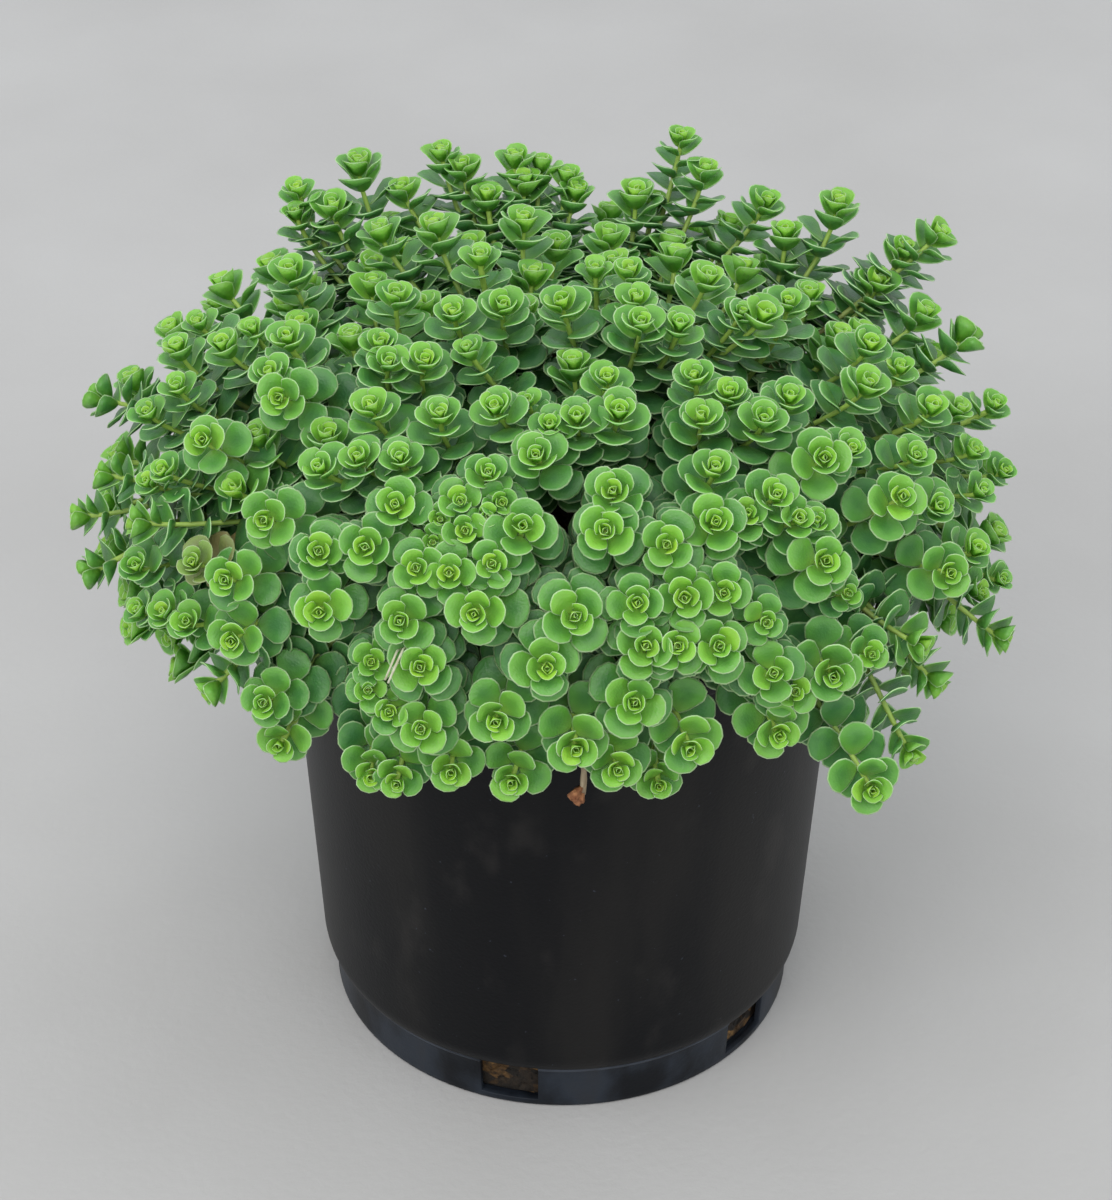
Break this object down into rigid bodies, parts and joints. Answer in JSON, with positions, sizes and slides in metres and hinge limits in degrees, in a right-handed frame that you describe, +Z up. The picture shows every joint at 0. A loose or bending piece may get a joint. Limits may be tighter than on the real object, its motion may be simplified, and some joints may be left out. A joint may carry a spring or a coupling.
{
  "type": "potted john creech stonecrop",
  "caption": "Low, mat-forming stonecrop that overflows a round black nursery pot; leafy stems rise from the root ball and end in rosettes.",
  "frame": {"origin": "middle of the pot's flat underside", "axes": "+Z up along the pot's axis; -Y towards the side that the picture was taken from, +X to its right"},
  "size_m": [0.2653, 0.2309, 0.2415],
  "materials": {
    "pot_plastic": "moulded black, dusty",
    "potting_soil": "rough, composted bark",
    "green_plant": "satin, fleshy leaf",
    "dead_stem": "dry"
  },
  "bodies": {
    "root": {"nursery_pot": "pot_plastic", "potting_soil": "potting_soil", "stonecrop_stem_01": "green_plant", "stonecrop_stem_02": "green_plant", "stonecrop_stem_03": "green_plant", "stonecrop_stem_04": "green_plant", "stonecrop_stem_05": "green_plant", "stonecrop_stem_06": "green_plant", "stonecrop_stem_07": "green_plant", "stonecrop_stem_08": "green_plant", "stonecrop_stem_09": "green_plant", "stonecrop_stem_10": "green_plant", "stonecrop_stem_11": "green_plant", "stonecrop_stem_12": "green_plant", "stonecrop_stem_13": "green_plant", "stonecrop_stem_14": "green_plant", "stonecrop_stem_15": "green_plant", "stonecrop_stem_16": "green_plant", "stonecrop_stem_17": "green_plant", "stonecrop_stem_18": "green_plant", "stonecrop_stem_19": "green_plant", "stonecrop_stem_20": "green_plant", "stonecrop_stem_21": "green_plant", "stonecrop_stem_22": "green_plant", "stonecrop_stem_23": "green_plant", "stonecrop_stem_24": "green_plant", "stonecrop_stem_25": "green_plant", "stonecrop_stem_26": "green_plant", "stonecrop_stem_27": "green_plant", "stonecrop_stem_28": "green_plant", "stonecrop_stem_29": "green_plant", "stonecrop_stem_30": "green_plant", "stonecrop_stem_31": "green_plant", "stonecrop_stem_32": "green_plant", "stonecrop_stem_33": "green_plant", "stonecrop_stem_34": "green_plant", "stonecrop_stem_35": "green_plant", "stonecrop_stem_36": "green_plant", "stonecrop_stem_37": "green_plant", "stonecrop_stem_38": "green_plant", "stonecrop_stem_39": "green_plant", "stonecrop_stem_40": "green_plant", "stonecrop_stem_41": "green_plant", "stonecrop_stem_42": "green_plant", "stonecrop_stem_43": "green_plant", "stonecrop_stem_44": "green_plant", "stonecrop_stem_45": "green_plant", "stonecrop_stem_46": "green_plant", "withered_stem": "dead_stem", "dry_stalks": "dead_stem"}
  },
  "joints": []
}
